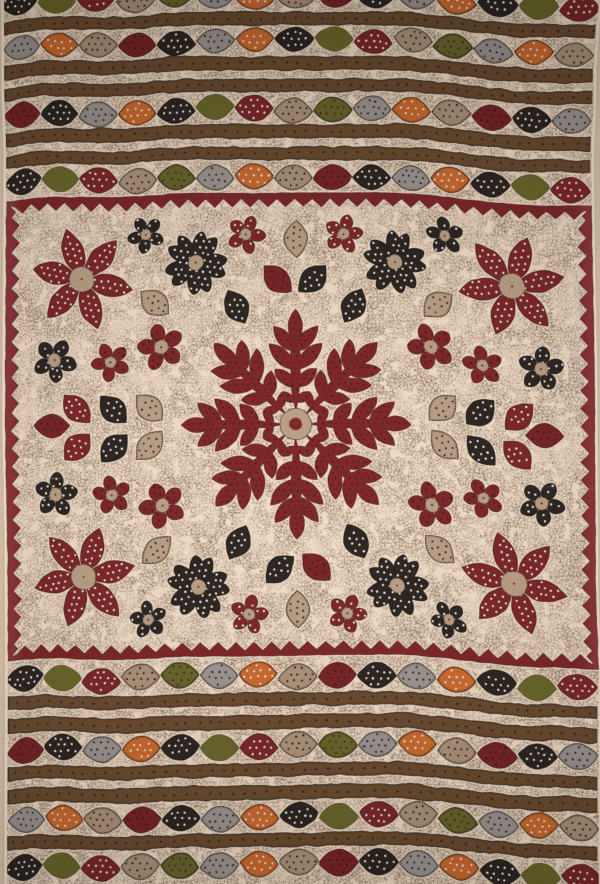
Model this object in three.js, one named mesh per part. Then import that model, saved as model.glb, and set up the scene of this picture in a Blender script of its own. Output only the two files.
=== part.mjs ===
// Printed cotton bedsheet of single-bed size, lying face up and nearly flat.
// It is one cut length of cloth, with a woven selvage down each long side and a turned hem across each end.
// Millimetres, +Z up: X runs across the width, Y along the length, and the underside rests on Z = 0.
import * as THREE from "three";

// The cloth
const WIDTH = 1520;
const LENGTH = 2320;
const THICKNESS = 1.5;
const CLOTH_COLOUR = 0xd8c3ad;
const CLOTH_ROUGHNESS = 0.92;

// The turned hems: their depth, how far their layers stand above the single cloth, and the run of that step
const HEM_DEPTH = 20;
const HEM_STEP = 1.0;
const HEM_STEP_RUN = 4;

// The mesh: even spacing along each direction, and the least gap kept to a line that a fold asks for
const ACROSS_SPACING = 54;
const ALONG_SPACING = 55;
const LEAST_GAP = 16;

// The cloth lies out of square: its cross threads bow towards -Y.
// Each row gives a place across the width, and the drop there at the top end and at the bottom end.
const WEFT_BOW = [
  { across: -760, topDrop: 28, bottomDrop: 13 },
  { across: -625, topDrop: 12, bottomDrop: 7 },
  { across: -470, topDrop: 12, bottomDrop: 13 },
  { across: -250, topDrop: 0, bottomDrop: 6 },
  { across: 225, topDrop: 0, bottomDrop: -1 },
  { across: 612, topDrop: 32, bottomDrop: 31 },
  { across: 760, topDrop: 31, bottomDrop: 40 },
];

// The long sides wander too. Each row gives a place along the length, and the shift of each selvage in X.
const SELVAGE_DRIFT = [
  { along: -1160, leftShift: 3, rightShift: 8 },
  { along: -580, leftShift: 5, rightShift: 8 },
  { along: -330, leftShift: 4, rightShift: 1 },
  { along: 70, leftShift: -2, rightShift: -1 },
  { along: 695, leftShift: 1, rightShift: -10 },
  { along: 895, leftShift: -4, rightShift: -4 },
  { along: 1160, leftShift: -5, rightShift: 10 },
];

// Pressed creases left from folding the sheet. Each is a soft ridge along the cloth's own threads: its place,
// the stretch that it runs over, the length it takes to fade at each end, half its width, and its height.
const CREASES = [
  { runs: "across", at: -115, from: -560, to: 740, fade: 240, halfWidth: 26, height: 2.6 },
  { runs: "along", at: 488, from: -650, to: 610, fade: 260, halfWidth: 26, height: 2.2 },
];

// Low swells where the cloth is slack. Each is a soft rise: its middle, its reach both ways, and its height.
const SWELLS = [
  { across: 430, along: 800, reachAcross: 210, reachAlong: 300, height: 5.0 },
  { across: 560, along: 310, reachAcross: 170, reachAlong: 360, height: 3.5 },
  { across: 400, along: -780, reachAcross: 220, reachAlong: 280, height: 4.5 },
  { across: -520, along: 740, reachAcross: 190, reachAlong: 300, height: 4.0 },
  { across: -560, along: -440, reachAcross: 160, reachAlong: 380, height: 3.5 },
  { across: -330, along: -900, reachAcross: 260, reachAlong: 190, height: 3.0 },
  { across: -60, along: 540, reachAcross: 330, reachAlong: 200, height: 2.5 },
];

// A value that goes from 0 to 1 with level ends as its argument does.
function ease(share) {
  const kept = THREE.MathUtils.clamp(share, 0, 1);
  return kept * kept * (3 - 2 * kept);
}

// The value of one column of a table at a place between its rows, eased from row to row.
function tableValue(table, placeColumn, valueColumn, place) {
  let value = table[0][valueColumn];
  for (let row = 1; row < table.length; row += 1) {
    const run = table[row][placeColumn] - table[row - 1][placeColumn];
    const share = (place - table[row - 1][placeColumn]) / run;
    value += (table[row][valueColumn] - table[row - 1][valueColumn]) * ease(share);
  }
  return value;
}

// A soft bump: 1 at the middle, and 0 from its reach outwards.
function bump(offset, reach) {
  return ease(1 - Math.abs(offset) / reach);
}

// How far the cloth is lifted off the surface by its creases and swells.
function lift(across, along) {
  let height = 0;
  for (const crease of CREASES) {
    const offset = (crease.runs === "across" ? along : across) - crease.at;
    const place = crease.runs === "across" ? across : along;
    const fadeIn = ease((place - crease.from) / crease.fade);
    const fadeOut = ease((crease.to - place) / crease.fade);
    height += crease.height * bump(offset, crease.halfWidth) * fadeIn * fadeOut;
  }
  for (const swell of SWELLS) {
    const shareAcross = bump(across - swell.across, swell.reachAcross);
    const shareAlong = bump(along - swell.along, swell.reachAlong);
    height += swell.height * shareAcross * shareAlong;
  }
  return height;
}

// How far the turned layers of a hem raise the upper face.
function hemRise(along) {
  const fromEnd = LENGTH / 2 - Math.abs(along);
  return HEM_STEP * ease((HEM_DEPTH + HEM_STEP_RUN - fromEnd) / HEM_STEP_RUN);
}

// Where a point of the flat cloth comes to lie.
function lie(across, along, onUpperFace) {
  const fromLeft = across / WIDTH + 0.5;
  const fromBottom = along / LENGTH + 0.5;
  const leftShift = tableValue(SELVAGE_DRIFT, "along", "leftShift", along);
  const rightShift = tableValue(SELVAGE_DRIFT, "along", "rightShift", along);
  const topDrop = tableValue(WEFT_BOW, "across", "topDrop", across);
  const bottomDrop = tableValue(WEFT_BOW, "across", "bottomDrop", across);
  const x = across + THREE.MathUtils.lerp(leftShift, rightShift, fromLeft);
  const y = along - THREE.MathUtils.lerp(bottomDrop, topDrop, fromBottom);
  const z = lift(across, along) + (onUpperFace ? THICKNESS + hemRise(along) : 0);
  return new THREE.Vector3(x, y, z);
}

// Mesh lines in one direction: the lines that folds and hems ask for, and even ones between them.
function meshLines(size, spacing, wanted) {
  const count = Math.round(size / spacing);
  const lines = [-size / 2, size / 2, ...wanted];
  for (let step = 1; step < count; step += 1) {
    const line = size * (step / count - 0.5);
    if (wanted.every((other) => Math.abs(other - line) > LEAST_GAP)) {
      lines.push(line);
    }
  }
  return lines.sort((one, other) => one - other);
}

// The lines that one crease asks for: its foot, flank and crest.
function creaseLines(crease) {
  const steps = [-1, -0.5, 0, 0.5, 1];
  return steps.map((step) => crease.at + step * crease.halfWidth);
}

// The sheet: a finely divided thin block whose points are laid where the cloth lies.
function sheetGeometry() {
  const hemDepths = [HEM_DEPTH, HEM_DEPTH + HEM_STEP_RUN];
  const hemLines = hemDepths.flatMap((depth) => [depth - LENGTH / 2, LENGTH / 2 - depth]);
  const alongCreases = CREASES.filter((crease) => crease.runs === "along");
  const acrossCreases = CREASES.filter((crease) => crease.runs === "across");
  const columns = meshLines(WIDTH, ACROSS_SPACING, alongCreases.flatMap(creaseLines));
  const rows = meshLines(LENGTH, ALONG_SPACING, [...hemLines, ...acrossCreases.flatMap(creaseLines)]);
  const geometry = new THREE.BoxGeometry(1, 1, 1, columns.length - 1, rows.length - 1, 1);
  const points = geometry.attributes.position;
  for (let index = 0; index < points.count; index += 1) {
    const column = Math.round((points.getX(index) + 0.5) * (columns.length - 1));
    const row = Math.round((points.getY(index) + 0.5) * (rows.length - 1));
    const point = lie(columns[column], rows[row], points.getZ(index) > 0);
    points.setXYZ(index, point.x, point.y, point.z);
  }
  geometry.computeBoundingBox();
  const middle = geometry.boundingBox.getCenter(new THREE.Vector3());
  geometry.translate(-middle.x, -middle.y, -geometry.boundingBox.min.z);
  geometry.computeVertexNormals();
  return geometry;
}

const cloth = new THREE.MeshStandardMaterial({
  color: CLOTH_COLOUR,
  roughness: CLOTH_ROUGHNESS,
  metalness: 0,
});
const bedsheet = new THREE.Mesh(sheetGeometry(), cloth);
bedsheet.name = "bedsheet";

const part = new THREE.Group();
part.add(bedsheet);

export default part;
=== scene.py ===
# %% [markdown]
# # A printed cotton bedsheet, lying face up
# The sheet is one cut length of cotton, woven with a selvage down each long side, turned into a hem
# across each end, and printed in one pass. This lesson makes the cloth as one surface worked out from
# two parameters, lays the print out on it as a short list of figures, and lets one material draw them.
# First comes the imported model: it is the fixed frame that everything here has to agree with.

# %% Load the frame
import math
from functools import partial
from types import SimpleNamespace

import bpy
import numpy as np
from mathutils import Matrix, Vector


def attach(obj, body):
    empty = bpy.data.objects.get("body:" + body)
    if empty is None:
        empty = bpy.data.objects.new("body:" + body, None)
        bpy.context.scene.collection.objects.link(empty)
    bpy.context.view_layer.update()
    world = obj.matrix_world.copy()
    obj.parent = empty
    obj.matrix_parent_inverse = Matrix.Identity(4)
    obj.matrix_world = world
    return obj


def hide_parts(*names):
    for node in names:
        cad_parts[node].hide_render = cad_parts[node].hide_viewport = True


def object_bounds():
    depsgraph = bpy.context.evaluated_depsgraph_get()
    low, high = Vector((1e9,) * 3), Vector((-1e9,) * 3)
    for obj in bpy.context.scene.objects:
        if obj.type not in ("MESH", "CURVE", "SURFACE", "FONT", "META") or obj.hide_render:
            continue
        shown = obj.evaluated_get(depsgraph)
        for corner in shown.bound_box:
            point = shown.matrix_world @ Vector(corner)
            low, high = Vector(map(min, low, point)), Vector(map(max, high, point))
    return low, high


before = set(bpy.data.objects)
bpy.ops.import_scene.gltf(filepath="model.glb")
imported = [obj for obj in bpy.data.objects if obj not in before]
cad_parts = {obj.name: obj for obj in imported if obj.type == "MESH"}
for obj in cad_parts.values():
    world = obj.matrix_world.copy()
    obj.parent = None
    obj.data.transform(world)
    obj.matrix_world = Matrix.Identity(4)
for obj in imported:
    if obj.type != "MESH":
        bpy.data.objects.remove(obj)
cad_low, cad_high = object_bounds()
MM = 0.001
print("frame nodes:", sorted(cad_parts))
print("model box in mm:", [round(v / MM, 1) for v in (*cad_low, *cad_high)])

# %% [markdown]
# ## How the cloth lies
# A sheet that was spread by hand is never square. Its cross threads bow, its sides wander, it keeps the
# creases that it was folded with, and slack makes low swells. A cloth simulation could do this too, but
# it would not put the folds where they are on the real sheet. So the sizes of the solid model are
# repeated here, in millimetres, with four fainter creases and a small drift of the lengthwise threads.

# %% Out of square
WIDTH = 1520.0
LENGTH = 2320.0
THICKNESS = 1.5

# Columns: place across the width, drop at the top end, drop at the bottom end.
WEFT_BOW = np.array([
    [-760, 28, 13],
    [-625, 12, 7],
    [-470, 12, 13],
    [-250, 0, 6],
    [225, 0, -1],
    [612, 32, 31],
    [760, 31, 40],
], float)

# Columns: place along the length, shift of the left selvage, shift of the right selvage.
SELVAGE_DRIFT = np.array([
    [-1160, 3, 8],
    [-580, 5, 8],
    [-330, 4, 1],
    [70, -2, -1],
    [695, 1, -10],
    [895, -4, -4],
    [1160, -5, 10],
], float)

# Columns: place across the width, sideways shift of the lengthwise threads there.
WARP_DRIFT = np.array([
    [-760, 0],
    [-560, -9],
    [-100, -10],
    [350, -7],
    [600, 0],
    [735, 4],
    [760, 0],
], float)
print("cloth of", WIDTH, "by", LENGTH, "mm, bowed by up to", WEFT_BOW[:, 1:].max(), "mm")

# %% Creases and swells
# Columns: 1 if it runs across, its place, from, to, fade at each end, half width, height.
CREASES = np.array([
    [1, -115, -560, 740, 240, 26, 2.6],
    [0, 488, -650, 610, 260, 26, 2.2],
    [1, 468, -640, 520, 300, 20, 0.5],
    [1, -690, -500, 640, 300, 20, 0.5],
    [0, -8, -1000, 980, 420, 18, 0.4],
    [0, -492, -760, 900, 380, 20, 0.5],
], float)

# Columns: middle across, middle along, reach across, reach along, height.
SWELLS = np.array([
    [430, 800, 210, 300, 5.0],
    [560, 310, 170, 360, 3.5],
    [400, -780, 220, 280, 4.5],
    [-520, 740, 190, 300, 4.0],
    [-560, -440, 160, 380, 3.5],
    [-330, -900, 260, 190, 3.0],
    [-60, 540, 330, 200, 2.5],
], float)
print("creases:", len(CREASES), "swells:", len(SWELLS))


# %% Eased values and lift
def ease(share):
    """Three times s squared minus two times s cubed, with s held between 0 and 1."""
    kept = np.clip(share, 0.0, 1.0)
    return kept * kept * (3.0 - 2.0 * kept)


def table_value(table, column, place):
    """The first row's value plus, for each next row, the step in value times the eased share of the way."""
    value = np.full_like(place, table[0, column])
    for before, after in zip(table[:-1], table[1:]):
        share = (place - before[0]) / (after[0] - before[0])
        value = value + (after[column] - before[column]) * ease(share)
    return value


def bump(offset, reach):
    """One at the middle, falling with eased sides to nothing at the reach."""
    return ease(1.0 - np.abs(offset) / reach)


def lift(across, along):
    """Height above the floor: each crease a ridge that fades at its ends, each swell a product of bumps."""
    height = np.zeros_like(across)
    for runs_across, at, start, stop, fade, half_width, rise in CREASES:
        offset = (along if runs_across else across) - at
        place = across if runs_across else along
        ends = ease((place - start) / fade) * ease((stop - place) / fade)
        height += rise * bump(offset, half_width) * ends
    for middle_across, middle_along, reach_across, reach_along, rise in SWELLS:
        round_across = bump(across - middle_across, reach_across)
        height += rise * round_across * bump(along - middle_along, reach_along)
    return height


print("height of the crease across:", lift(np.zeros(1), CREASES[:1, 1]).round(2), "mm")

# %% [markdown]
# Each end is turned under twice, so it stands a step higher than the single cloth, and the sewing draws up
# small ripples beside it. They could be bump in the material, but then the hem's edge would look straight
# from the side. Here they are part of the lie, the function that the whole sheet follows.

# %% Hems, ripples and the whole lie
HEM_DEPTH = 20.0
HEM_STEP = 1.0
# The fold's edge is drawn sharper here than in the solid, where the step needs a longer run.
HEM_STEP_RUN = 1.4
PUCKER_PITCH = 31.0
PUCKER_HEIGHT = 0.45
PUCKER_REACH = 85.0
# The pitch sways slowly: by this share of a ripple, over this way across.
PUCKER_SWAY = 0.8
PUCKER_SWAY_RUN = 170.0


def pucker(across, along):
    """Ripples beside the hems: a raised cosine of the swaying way across, fading inwards from the end."""
    from_end = LENGTH / 2 - np.abs(along)
    turn = 2 * np.pi * (across / PUCKER_PITCH + PUCKER_SWAY * np.sin(across / PUCKER_SWAY_RUN))
    return PUCKER_HEIGHT * (0.5 + 0.5 * np.cos(turn)) * ease(1.0 - from_end / PUCKER_REACH)


def hem_rise(along):
    """The step up on to the turned layers, eased over its run."""
    from_end = LENGTH / 2 - np.abs(along)
    return HEM_STEP * ease((HEM_DEPTH + HEM_STEP_RUN - from_end) / HEM_STEP_RUN)


def lie(across, along):
    """Where flat cloth lies: drift blended from side to side, bow from end to end, and its height."""
    from_left = across / WIDTH + 0.5
    from_bottom = along / LENGTH + 0.5
    left = table_value(SELVAGE_DRIFT, 1, along)
    right = table_value(SELVAGE_DRIFT, 2, along)
    top = table_value(WEFT_BOW, 1, across)
    bottom = table_value(WEFT_BOW, 2, across)
    x = across + left * (1 - from_left) + right * from_left + table_value(WARP_DRIFT, 1, across)
    y = along - (bottom * (1 - from_bottom) + top * from_bottom)
    return x, y, lift(across, along) + pucker(across, along)


print("hems", HEM_DEPTH, "mm deep,", HEM_STEP, "mm above the cloth")

# %% [markdown]
# ## The mesh of the sheet
# One grid makes the printed face and a second one the underside, and they share the points of the
# outline, so the sheet is one closed skin with a rounded edge. A plane with a Solidify modifier would do
# for plain cloth. Here the columns of the grid fall on the borders between the printed leaves, and follow
# their rows sideways, because each face will later carry the one figure that is printed on it.

# %% Lines of the grid
# Leaf rows of the print. Columns: place along the length, where in the colour cycle it starts, pitch,
# sideways shift, plumpness of its leaves.
LEAF_ROWS = [
    (1082, 0, 99.1, -3, 0.96),
    (969, 5, 98.0, -2, 0.945),
    (800, 8, 98.0, -3, 0.985),
    (631, 0, 98.0, -3, 0.985),
    (-615, 0, 98.0, -3, 1.0),
    (-789, 8, 98.0, -1, 1.0),
    (-966, 5, 98.0, 2, 1.0),
    (-1085, 0, 98.9, 1.5, 1.0),
]
LEAF_PITCH = 98.0
LEAVES_IN_ROW = 15
PRINT_HALF = LEAF_PITCH * LEAVES_IN_ROW / 2
FACES_IN_LEAF = 11
ROWS_INSIDE = 240
EDGE_ROUND = 1.6
EDGE_STEPS = np.array([EDGE_ROUND, 0.8, 0.25, 0.0])
MARGIN_LINES = PRINT_HALF + np.array([13.0, 18.0])
CLEAR_OF_HEM = 6.0

margin = np.concatenate([MARGIN_LINES, WIDTH / 2 - EDGE_STEPS])
inside = np.linspace(-PRINT_HALF, PRINT_HALF, LEAVES_IN_ROW * FACES_IN_LEAF + 1)
across_lines = np.concatenate([-margin[::-1], inside, margin])

hem_steps = HEM_DEPTH + HEM_STEP_RUN * np.array([1.0, 0.75, 0.5, 0.25, 0.0])
hem_lines = LENGTH / 2 - np.concatenate([hem_steps, [HEM_DEPTH / 2], EDGE_STEPS])
within = LENGTH / 2 - HEM_DEPTH - HEM_STEP_RUN - CLEAR_OF_HEM
between = np.linspace(-within, within, ROWS_INSIDE + 1)
along_lines = np.concatenate([-hem_lines[::-1], between, hem_lines])
print("grid lines:", len(across_lines), "across,", len(along_lines), "along")


# %% Heights of the two faces
def sheet_faces(across, along):
    """Upper and lower height: the lie plus the thickness, closed at the outline by a quarter ellipse."""
    x, y, low = lie(across, along)
    from_edge = np.minimum(WIDTH / 2 - np.abs(across), LENGTH / 2 - np.abs(along))
    full = THICKNESS + hem_rise(along)
    swell = np.sqrt(1.0 - (1.0 - np.clip(from_edge / EDGE_ROUND, 0.0, 1.0)) ** 2)
    middle = low + full / 2
    return x, y, middle + swell * full / 2, middle - swell * full / 2


flat_across, flat_along = np.meshgrid(across_lines, along_lines)
row_places, _, row_pitches, row_shifts, _ = np.array(LEAF_ROWS[::-1], float).T
stretch = np.interp(flat_along, row_places, row_pitches) / LEAF_PITCH
in_row = flat_across * stretch + np.interp(flat_along, row_places, row_shifts)
flat_across = np.where(np.abs(flat_across) < MARGIN_LINES[0], in_row, flat_across)
x, y, z_up, z_down = sheet_faces(flat_across, flat_along)
box_middle = (np.array(cad_low) + np.array(cad_high)) / 2 / MM
shift = box_middle[:2] - [(x.min() + x.max()) / 2, (y.min() + y.max()) / 2]
x = x + shift[0]
y = y + shift[1]
print("shift on to the frame in mm:", shift.round(2))

# %% Points and faces
rows, columns = x.shape
inner = (slice(1, -1), slice(1, -1))
up_points = np.stack([x, y, z_up], -1).reshape(-1, 3)
down_points = np.stack([x[inner], y[inner], z_down[inner]], -1).reshape(-1, 3)
points = np.concatenate([up_points, down_points]) * MM
flat_points = np.concatenate([
    np.stack([flat_across, flat_along], -1).reshape(-1, 2),
    np.stack([flat_across[inner], flat_along[inner]], -1).reshape(-1, 2),
])


def grid_quads(index):
    """The four corners of each cell in a grid of point numbers, going round it anticlockwise."""
    corners = [index[:-1, :-1], index[:-1, 1:], index[1:, 1:], index[1:, :-1]]
    return np.stack(corners, -1).reshape(-1, 4)


OTHER_WAY_ROUND = [0, 3, 2, 1]
up_index = np.arange(rows * columns).reshape(rows, columns)
down_index = up_index.copy()
down_index[inner] = rows * columns + np.arange(len(down_points)).reshape(rows - 2, columns - 2)
quads = np.concatenate([grid_quads(up_index), grid_quads(down_index)[:, OTHER_WAY_ROUND]])
face_count = len(quads)
on_top = np.arange(face_count) < face_count // 2
print("faces:", face_count, "triangles:", 2 * face_count)


# %% The sheet as an object
def mesh_object(name, points, quads):
    """Puts arrays of points and of four-sided faces into a new smooth mesh object at the origin."""
    mesh = bpy.data.meshes.new(name)
    mesh.vertices.add(len(points))
    mesh.vertices.foreach_set("co", points.ravel())
    mesh.loops.add(quads.size)
    mesh.loops.foreach_set("vertex_index", quads.ravel().astype(np.int32))
    mesh.polygons.add(len(quads))
    mesh.polygons.foreach_set("loop_start", np.arange(0, quads.size, 4, dtype=np.int32))
    mesh.polygons.foreach_set("use_smooth", np.ones(len(quads), bool))
    mesh.update(calc_edges=True)
    mesh.validate()
    made = bpy.data.objects.new(name, mesh)
    bpy.context.scene.collection.objects.link(made)
    return made


sheet = mesh_object("printed_sheet", points, quads)
print("sheet measures", [round(v, 3) for v in sheet.dimensions], "m")

# %% [markdown]
# ## The dyes
# Each colour of the print is one dye. They are written as sRGB values, the way a colour is picked from a
# screen, and one function turns them into the linear values that the renderer works in.


# %% Colours of the print
def linear(colour):
    """sRGB hex to linear: the low end over 12.92, the rest raised to the power 2.4 after its offset."""
    part = np.array([int(colour[i:i + 2], 16) for i in (1, 3, 5)]) / 255.0
    value = np.where(part <= 0.04045, part / 12.92, ((part + 0.055) / 1.055) ** 2.4)
    return (*value, 1.0)


CREAM = "#E9D5C1"
HALO = "#F0DFCC"
CRACKLE = "#927A64"
RED = "#792325"
# Painted sheen: the border's red where it looks lighter near the sides.
SIDE_SHEEN_RED = "#883338"
RED_EDGE = "#521618"
MAROON = "#742022"
BLACK = "#29211E"
TAN = "#A88F78"
SAND = "#B49A82"
ORANGE = "#C6682B"
GREEN = "#686428"
OLIVE = "#666229"
GREY = "#98918E"
BROWN = "#67492E"
INK = "#2E1A12"
CHALK = "#F3E9DD"
UMBER = "#4A2A18"
WINE = "#481414"

# Leaves of the rows. Columns: fill, dots or none, 1 if blanket stitches are drawn round the edge.
LEAF_KINDS = {
    "black": (BLACK, CHALK, 0),
    "green": (GREEN, None, 0),
    "red": (RED, CHALK, 0),
    "tan": (TAN, INK, 1),
    "olive": (OLIVE, UMBER, 1),
    "grey": (GREY, INK, 1),
    "orange": (ORANGE, CHALK, 1),
    "maroon": (MAROON, WINE, 0),
    "sand": (SAND, INK, 1),
}
LEAF_CYCLE = [
    "black", "green", "red", "tan", "olive", "grey",
    "orange", "tan", "maroon", "black", "grey", "orange",
]
print("dyed leaf kinds:", len(LEAF_KINDS), "in a cycle of", len(LEAF_CYCLE))

# %% [markdown]
# ## The layout of the print
# Bands of leaves and stripes fill both ends, and a bordered field lies between them. Every leaf and
# flower is the same kind of figure: a petal with two round edges, turned round a middle a number of
# times. So the layout is a list with one entry for each figure, and rows and sprays are made by loops.
# A painted image would be quicker, but it would blur close up, and every leaf could not be a little off.

# %% Rows of leaves
LEAF_HALF_LENGTH = 50.2
LEAF_HALF_WIDTH = 34.0
LEAF_LEAST = 0.975
LEAF_TILT = 4.5
LEAF_STRAY = 2.2
# How far tips are drawn out: nothing for plain round edges, less than nothing for blunter tips.
LEAF_TIP = -0.1
SEED = 2593

figures = []
draw = np.random.default_rng(SEED)


def add_figure(place, turn, halves, dyes, tip, fold=1, petal_middle=0.0, split=0.0, eye=0.0):
    """Adds a petal with its two half sizes, set off from a place and turned fold times round it."""
    fill, dots, stitched = dyes
    figures.append({
        "across": place[0], "along": place[1], "turn": turn, "fold": fold, "petal_middle": petal_middle,
        "half_length": halves[0], "half_width": halves[1], "split": split, "eye": eye, "tip": tip,
        "fill": fill, "dots": dots, "stitched": stitched,
    })


for along, first, pitch, sideways, plump in LEAF_ROWS:
    for place in range(LEAVES_IN_ROW):
        kind = LEAF_CYCLE[(first + place) % len(LEAF_CYCLE)]
        across = (place + 0.5 - LEAVES_IN_ROW / 2) * pitch + sideways
        size = draw.uniform(LEAF_LEAST, 1.0) * pitch / LEAF_PITCH
        stray = draw.uniform(-LEAF_STRAY, LEAF_STRAY)
        tilt = draw.uniform(-LEAF_TILT, LEAF_TILT)
        halves = (LEAF_HALF_LENGTH * size, LEAF_HALF_WIDTH * size * plump)
        add_figure((across, along + stray), tilt, halves, LEAF_KINDS[kind], LEAF_TIP)
print("row leaves:", len(figures))

# %% [markdown]
# The field holds a plain arrangement of common garden figures: a wheel of feathers in the middle, a spray
# of leaves on each side of it, a six-petalled daisy in each corner, and small round-petalled and
# heart-petalled blossoms between them. A quarter of it is listed and mirrored to the other three.

# %% Flowers of the field
FIELD_TOP = 590.3
FIELD_BOTTOM = -566.4
FIELD_HALF = (FIELD_TOP - FIELD_BOTTOM) / 2
FIELD_MIDDLE = np.array([0.0, (FIELD_TOP + FIELD_BOTTOM) / 2])

# Flower kinds, in shares of the radius. Columns: fold, petal from, petal to, half width, split in degrees,
# eye, draw of the tips.
FLOWERS = {
    "daisy": (6, 0.06, 1.0, 0.215, 0.0, 0.24, 0.0),
    "briar": (5, 0.18, 1.0, 0.33, 0.0, 0.29, -0.4),
    "primrose": (5, 0.1, 1.0, 0.235, 14.0, 0.24, -0.42),
}

# One quarter of the flowers. Columns: kind, across, along, radius, turn, fill, dots.
QUARTER = [
    ("daisy", 535, 372, 132, 12, RED, CHALK),
    ("primrose", 248, 404, 80, 8, BLACK, CHALK),
    ("briar", 336, 198, 60, 40, RED, WINE),
    ("briar", 604, 168, 58, 12, BLACK, CHALK),
    ("briar", 462, 166, 50, 28, RED, WINE),
    ("briar", 122, 474, 50, 5, RED, CHALK),
    ("briar", 374, 480, 48, 25, BLACK, CHALK),
]


def add_flower(kind, place, radius, turn, fill, dots):
    """Adds one flower, with its petal's middle and halves worked out from its radius."""
    fold, start, stop, width, split, eye, tip = FLOWERS[kind]
    halves = (radius * (stop - start) / 2, radius * width)
    form = {"fold": fold, "petal_middle": radius * (start + stop) / 2, "split": split, "eye": radius * eye}
    add_figure(FIELD_MIDDLE + place, turn, halves, (fill, dots, 0), tip, **form)


for side in (1, -1):
    for end in (1, -1):
        for kind, across, along, radius, turn, fill, dots in QUARTER:
            add_flower(kind, (side * across, end * along), radius, side * end * turn, fill, dots)
print("figures with the flowers:", len(figures))

# %% Sprays of leaves around the wheel
SPRAY_SPREAD = 46.0
SPRAY_GAP = 15.0
SPRAY_TIP = 0.08
SPRAY_HALVES = (LEAF_HALF_LENGTH * 0.97, LEAF_HALF_WIDTH * 0.92)

# Sprays to one side and to one end. Columns: foot, tip, where its pairs stand, leaves from the tip inwards.
SPRAYS = [
    ((308, 0), (612, 0), (0.04, 0.34, 0.64), ["maroon", "sand", "sand", "black", "black", "red", "red"]),
    ((0, 304), (0, 462), (0.06,), ["sand", "maroon", "black"]),
]
# Single leaves of one quarter, pointing away from the middle. Columns: across, along, kind.
SINGLE_LEAVES = [(352, 308, "sand"), (146, 294, "black")]


def add_spray(foot, tip, pairs, kinds):
    """Adds one leaf at the tip of a line, and a slanted pair for each share of the way along it."""
    foot, tip = np.array(foot, float), np.array(tip, float)
    ahead = math.degrees(math.atan2(*(tip - foot)[::-1]))
    leaves = [(tip, ahead)]
    for share in pairs:
        for hand in (1, -1):
            turn = ahead + hand * SPRAY_SPREAD
            out = np.array([math.cos(math.radians(turn)), math.sin(math.radians(turn))])
            leaves.append((foot + share * (tip - foot) + out * (LEAF_HALF_LENGTH + SPRAY_GAP), turn))
    for kind, (place, turn) in zip(kinds, leaves):
        add_figure(FIELD_MIDDLE + place, turn, SPRAY_HALVES, LEAF_KINDS[kind], SPRAY_TIP)


for side in (1, -1):
    for foot, tip, pairs, kinds in SPRAYS:
        add_spray([side * v for v in foot], [side * v for v in tip], pairs, kinds)
    for end in (1, -1):
        for across, along, kind in SINGLE_LEAVES:
            add_spray((0, 0), (side * across, end * along), (), [kind])
print("figures in all:", len(figures))

# %% [markdown]
# ## From the layout to the faces
# Each face of the mesh is told which figure is printed on it: the one whose edge lies deepest around the
# face's middle. Its corners then get that figure's own coordinates as a UV map, and the figure's sizes
# and dyes become attributes of the face. The material needs no list: it reads the face it is on.

# %% Which figure each face belongs to
shape = {name: np.array([figure[name] for figure in figures], float)
         for name in figures[0] if name not in ("fill", "dots")}
arc_radius = (shape["half_length"] ** 2 + shape["half_width"] ** 2) / (2 * shape["half_width"])


def figure_place(row, across, along):
    """A point in a figure's own coordinates: taken from its middle, then turned back by its turn."""
    turn = np.radians(shape["turn"][row])
    from_across = across - shape["across"][row]
    from_along = along - shape["along"][row]
    own_across = from_across * np.cos(turn) + from_along * np.sin(turn)
    own_along = from_along * np.cos(turn) - from_across * np.sin(turn)
    return own_across, own_along


def petal_inside(row, across, along):
    """Depth in a figure: angles folded to one petal, then the arc's radius less the way to its middle."""
    own_across, own_along = figure_place(row, across, along)
    step = 2 * np.pi / shape["fold"][row]
    angle = np.arctan2(own_along, own_across)
    folded = np.abs(angle - step * np.round(angle / step)) - np.radians(shape["split"][row])
    reach = np.hypot(own_across, own_along)
    down = reach * np.cos(folded) - shape["petal_middle"][row]
    aside = np.abs(reach * np.sin(folded)) + arc_radius[row] - shape["half_width"][row]
    return np.maximum(arc_radius[row] - np.hypot(down, aside), shape["eye"][row] - reach)


CLAIM_REACH = 15.0
corner_flat = flat_points[quads]
face_middle = corner_flat.mean(1)
deepest = np.full(face_count, -CLAIM_REACH)
owner = np.full(face_count, -1)
for row in range(len(figures)):
    depth = petal_inside(row, face_middle[:, 0], face_middle[:, 1])
    better = depth > deepest
    deepest[better] = depth[better]
    owner[better] = row
owned = owner >= 0
print("faces that carry a figure:", int(owned.sum()), "of", face_count)

# %% Maps of the faces
# Stripes. Columns: place along the length, half width.
STRIPES = np.array([
    [1024.4, 17.3],
    [913.1, 17.9],
    [857.8, 16.9],
    [743.4, 18.1],
    [688.2, 16.7],
    [-673.8, 16.9],
    [-730.4, 18.9],
    [-849.6, 17.2],
    [-906.0, 18.9],
    [-1024.5, 17.6],
])
# Faces without a figure are put this far from the middle of one.
FAR = 5000.0
own_across, own_along = figure_place(owner[:, None], corner_flat[..., 0], corner_flat[..., 1])
own_place = np.where(owned[:, None, None], np.stack([own_across, own_along], -1), FAR)
nearest_stripe = np.abs(face_middle[:, 1][:, None] - STRIPES[:, 0]).argmin(1)
stripe_place = corner_flat.copy()
stripe_place[..., 1] -= STRIPES[nearest_stripe, 0][:, None]

# The map for baking gives the printed face a wide band of the square, and the reverse a narrow one.
BAKE_EDGE = 0.004
BAKE_BACK = 0.18
share_across = corner_flat[..., 0] / WIDTH + 0.5
share_along = corner_flat[..., 1] / LENGTH + 0.5
top_band = BAKE_BACK + 2 * BAKE_EDGE + share_across * (1 - BAKE_BACK - 3 * BAKE_EDGE)
back_band = BAKE_EDGE + share_across * BAKE_BACK
bake_up = np.where(on_top[:, None], top_band, back_band)
bake_place = np.stack([BAKE_EDGE + share_along * (1 - 2 * BAKE_EDGE), bake_up], -1)

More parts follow.
